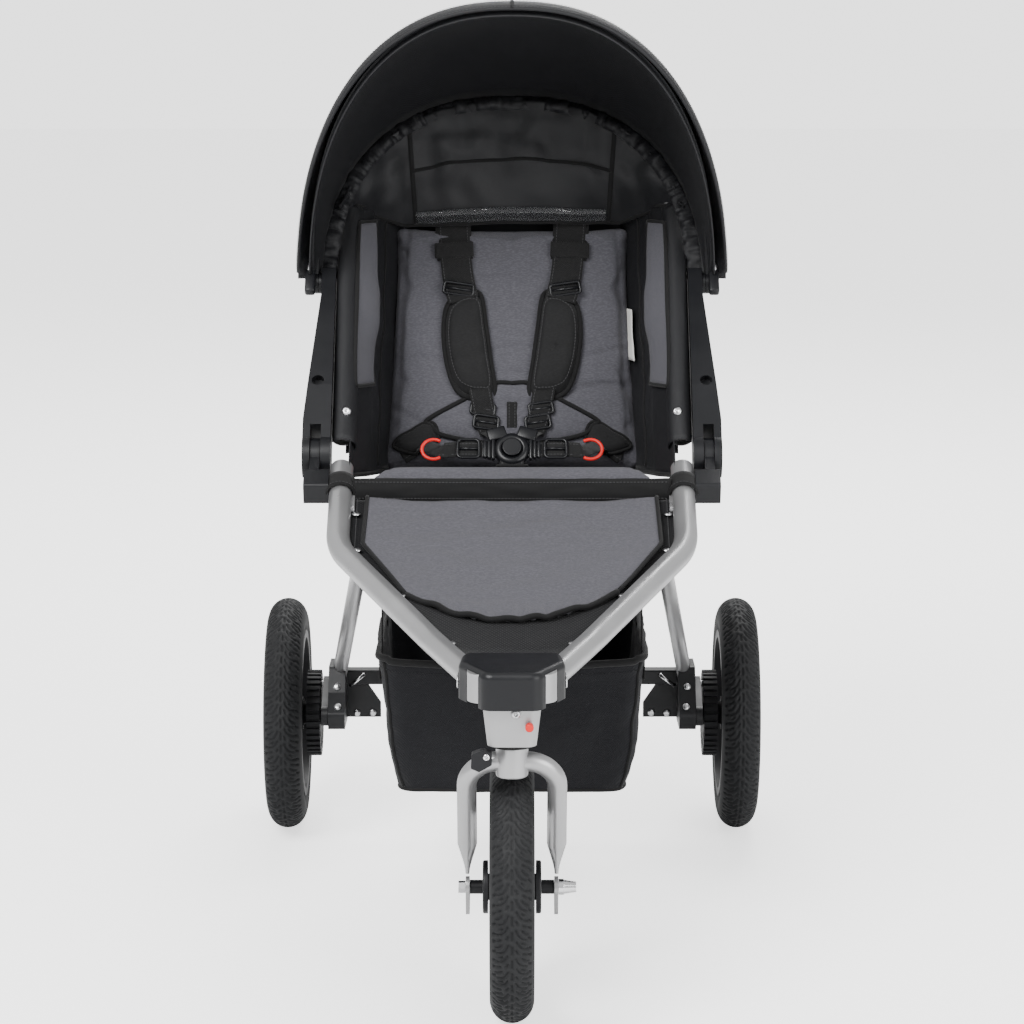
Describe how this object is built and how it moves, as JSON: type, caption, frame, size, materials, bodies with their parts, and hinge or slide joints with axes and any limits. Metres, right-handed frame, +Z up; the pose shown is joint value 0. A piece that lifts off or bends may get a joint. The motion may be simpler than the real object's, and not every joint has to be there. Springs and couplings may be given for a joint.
{
  "type": "three-wheel stroller",
  "caption": "Three-wheel all-terrain baby stroller with a swivelling front wheel, reclining seat, folding hood, suspended rear wheels and a basket.",
  "frame": {"origin": "on the ground under the middle of the overall box", "axes": "+Z up, -Y the way it rolls, +X towards the seated rider's left"},
  "size_m": [0.645, 1.15, 1.1184],
  "materials": {
    "tyre": "matte black rubber with moulded tread",
    "rim": "satin black moulded nylon",
    "hub": "black moulded plastic",
    "drum": "black glass-filled nylon",
    "fork_tube": "satin silver-grey powder coat",
    "steel": "zinc-plated steel",
    "chrome": "bright plated",
    "seal": "black rubber",
    "head_metal": "satin silver-grey cast aluminium",
    "black_plastic": "fine-grained black nylon",
    "red_plastic": "moulded colour",
    "frame_tube": "satin silver-grey powder coat",
    "pin_steel": "zinc-plated steel",
    "grip": "black foam rubber",
    "hoop": "black flexible plastic",
    "black_fabric": "black woven polyester",
    "grey_fabric": "heather charcoal-grey woven polyester",
    "pad_fabric": "padded grey cloth with black binding",
    "board": "black hard sheet and steel rod",
    "buckle_plastic": "black acetal"
  },
  "bodies": {
    "frame": {"front_tube_left": "frame_tube", "front_tube_right": "frame_tube", "head_block": "head_metal", "head_cover": "black_plastic", "fold_housing_left": "black_plastic", "fold_housing_right": "black_plastic", "frame_pins": "pin_steel", "seat_base": "board", "seat_cushion": "grey_fabric", "seat_front_band": "black_fabric", "foot_panel": "grey_fabric", "basket": "black_fabric", "buckle": "buckle_plastic"},
    "knob": {"tracking_knob": "red_plastic"},
    "front_fork": {"fork": "fork_tube", "head_seal": "seal", "front_axle": "steel", "front_axle_spacers": "hub", "front_axle_nut": "steel", "front_axle_knob": "chrome"},
    "latch": {"swivel_latch": "black_plastic"},
    "front_wheel": {"front_tyre": "tyre", "front_rim": "rim", "front_hub": "hub"},
    "upper_frame": {"upright_left": "frame_tube", "upright_right": "frame_tube", "upper_arm_left": "black_plastic", "upper_arm_right": "black_plastic", "side_panel_left": "black_fabric", "side_panel_right": "black_fabric", "canopy_pins": "pin_steel", "canopy_rear_hoop": "hoop"},
    "handle": {"handlebar": "frame_tube", "handle_grip": "grip"},
    "canopy_middle": {"canopy_middle_hoop": "hoop", "canopy_rear_cover": "black_fabric"},
    "canopy_front": {"canopy_front_hoop": "hoop", "canopy_front_cover": "black_fabric"},
    "backrest": {"back_board": "board", "back_cushion": "grey_fabric", "back_head_panel": "black_fabric", "harness_pads": "pad_fabric", "waist_pad": "pad_fabric"},
    "button": {"buckle_button": "red_plastic"},
    "rear_frame": {"rear_leg_left": "frame_tube", "rear_leg_right": "frame_tube", "suspension_bracket_left": "black_plastic", "suspension_bracket_right": "black_plastic", "rear_cross_tube": "black_plastic"},
    "pedal": {"brake_pedal": "black_plastic"},
    "swing_arm_left": {"swing_arm_left": "black_plastic"},
    "swing_arm_right": {"swing_arm_right": "black_plastic"},
    "brake_pin_left": {"brake_pin_left": "pin_steel"},
    "brake_pin_right": {"brake_pin_right": "pin_steel"},
    "wheel_left": {"rear_tyre_left": "tyre", "rear_rim_left": "rim", "brake_drum_left": "drum"},
    "wheel_right": {"rear_tyre_right": "tyre", "rear_rim_right": "rim", "brake_drum_right": "drum"}
  },
  "joints": [
    {"name": "fork_swivel", "type": "hinge", "parent": "frame", "child": "front_fork", "pos_m": [0, -0.4975, 0.35], "axis": [0, 0, 1], "continuous": true},
    {"name": "front_wheel_spin", "type": "hinge", "parent": "front_fork", "child": "front_wheel", "pos_m": [0, -0.4225, 0.1525], "axis": [1, 0, 0], "continuous": true},
    {"name": "tracking_knob_turn", "type": "hinge", "parent": "frame", "child": "knob", "pos_m": [0.019, -0.5345, 0.371], "axis": [0, 1, 0], "range_deg": [-180, 180]},
    {"name": "swivel_latch_turn", "type": "hinge", "parent": "front_fork", "child": "latch", "pos_m": [-0.032, -0.5185, 0.325], "axis": [0, 1, 0], "range_deg": [0, 40]},
    {"name": "fold", "type": "hinge", "parent": "frame", "child": "upper_frame", "pos_m": [0, 0.0095, 0.562], "axis": [1, 0, 0], "range_deg": [0, 92]},
    {"name": "rear_fold", "type": "hinge", "parent": "frame", "child": "rear_frame", "pos_m": [0, -0.0025, 0.48], "axis": [1, 0, 0], "range_deg": [-46, 0], "deforming": ["basket"]},
    {"name": "handle_tilt", "type": "hinge", "parent": "upper_frame", "child": "handle", "pos_m": [0, 0.34334, 0.9041], "axis": [1, 0, 0], "range_deg": [-40, 40]},
    {"name": "canopy_fold", "type": "hinge", "parent": "upper_frame", "child": "canopy_middle", "pos_m": [0, 0.19109, 0.74808], "axis": [1, 0, 0], "range_deg": [-20, 0], "deforming": ["canopy_rear_cover"]},
    {"name": "canopy_front_fold", "type": "hinge", "parent": "canopy_middle", "child": "canopy_front", "pos_m": [0, 0.19109, 0.74808], "axis": [1, 0, 0], "range_deg": [-24, 0], "deforming": ["canopy_front_cover"]},
    {"name": "recline", "type": "hinge", "parent": "frame", "child": "backrest", "pos_m": [0, 0.21749, 0.48293], "axis": [1, 0, 0], "range_deg": [-32, 0]},
    {"name": "buckle_press", "type": "slide", "parent": "frame", "child": "button", "axis": [0, 0.8, -0.6], "range_m": [0, 0.002], "stiffness_N_per_m": 300, "springref_m": -0.0005},
    {"name": "suspension_left", "type": "hinge", "parent": "rear_frame", "child": "swing_arm_left", "pos_m": [0.245, 0.2525, 0.166], "axis": [1, 0, 0], "range_deg": [0, 8], "stiffness_Nm_per_rad": 70, "springref_deg": -6.88},
    {"name": "suspension_right", "type": "hinge", "parent": "rear_frame", "child": "swing_arm_right", "pos_m": [-0.245, 0.2525, 0.166], "axis": [1, 0, 0], "range_deg": [0, 8], "stiffness_Nm_per_rad": 70, "springref_deg": -6.88},
    {"name": "rear_wheel_spin_left", "type": "hinge", "parent": "swing_arm_left", "child": "wheel_left", "pos_m": [0.2975, 0.3185, 0.1525], "axis": [1, 0, 0], "continuous": true},
    {"name": "rear_wheel_spin_right", "type": "hinge", "parent": "swing_arm_right", "child": "wheel_right", "pos_m": [-0.2975, 0.3185, 0.1525], "axis": [1, 0, 0], "continuous": true},
    {"name": "brake_press", "type": "hinge", "parent": "rear_frame", "child": "pedal", "pos_m": [0, 0.3405, 0.203], "axis": [-1, 0, 0], "range_deg": [0, 25]},
    {"name": "brake_pin_slide_left", "type": "slide", "parent": "swing_arm_left", "child": "brake_pin_left", "axis": [1, 0, 0], "range_m": [0, 0.005]},
    {"name": "brake_pin_slide_right", "type": "slide", "parent": "swing_arm_right", "child": "brake_pin_right", "axis": [-1, 0, 0], "range_m": [0, 0.005]}
  ],
  "couplings": [
    {"joint": "rear_fold", "follows": "fold", "ratio": -0.5},
    {"joint": "canopy_front_fold", "follows": "canopy_fold", "ratio": 1.2},
    {"joint": "brake_pin_slide_left", "follows": "brake_press", "m_per_rad": 0.011459},
    {"joint": "brake_pin_slide_right", "follows": "brake_press", "m_per_rad": 0.011459}
  ]
}
